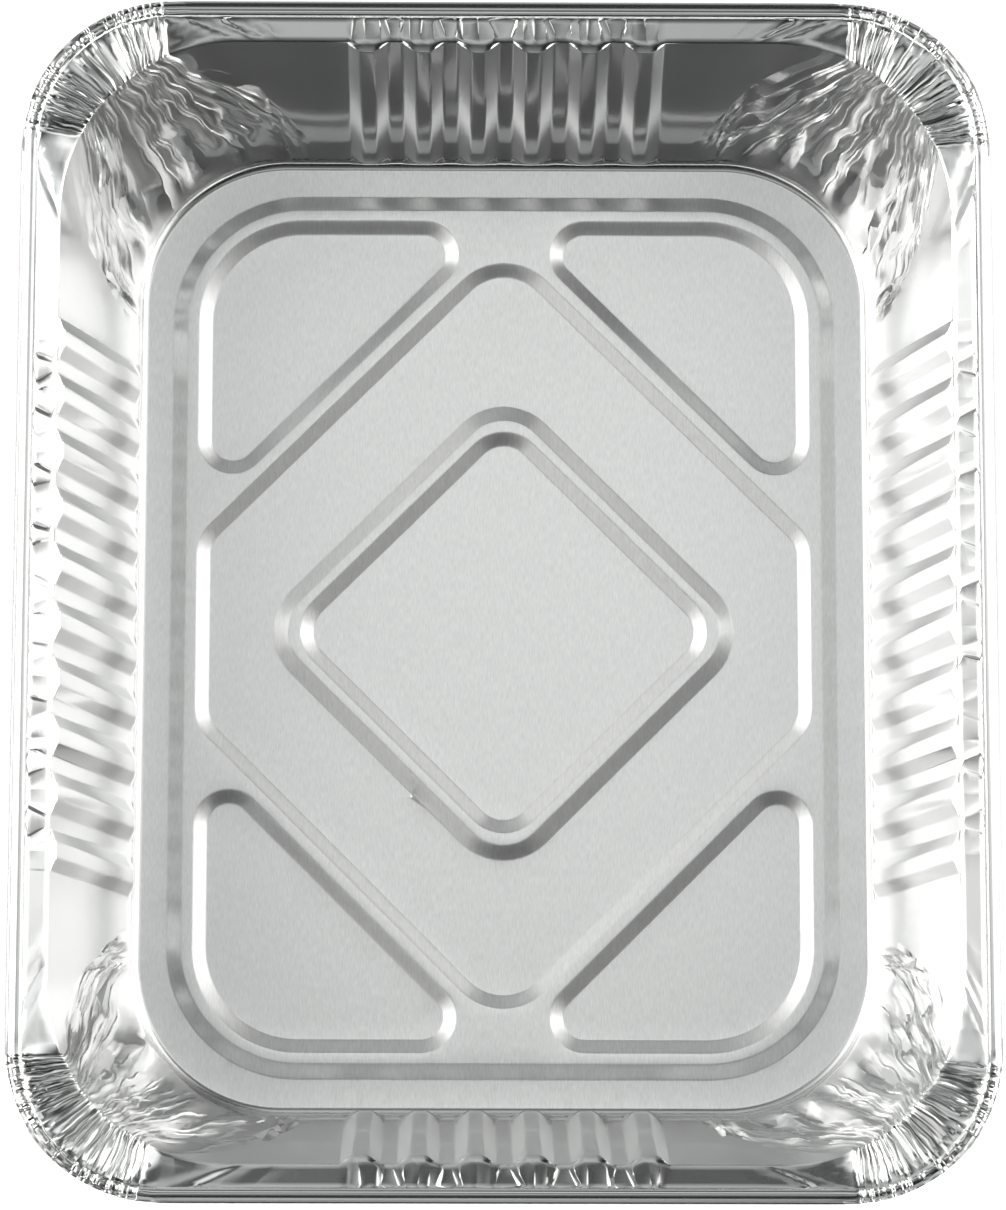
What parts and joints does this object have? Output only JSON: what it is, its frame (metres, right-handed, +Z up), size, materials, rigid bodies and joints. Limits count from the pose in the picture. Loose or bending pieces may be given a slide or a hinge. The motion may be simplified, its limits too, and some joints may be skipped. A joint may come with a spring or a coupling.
{
  "type": "foil roasting pan",
  "caption": "Deep rectangular aluminium foil roasting pan with ribbed sloping walls, pleated corners, a rolled rim and a floor pressed with ridges and diamond fields.",
  "frame": {"origin": "on the table, under the middle of the pan's floor", "axes": "+Z up out of the pan, +X across the pan's short side, to the picture's right, +Y along its long side, away from the camera"},
  "size_m": [0.264, 0.3274, 0.066],
  "materials": {
    "foil": "bright rolled foil, satin floor"
  },
  "bodies": {
    "root": {"foil_pan": "foil"}
  },
  "joints": []
}
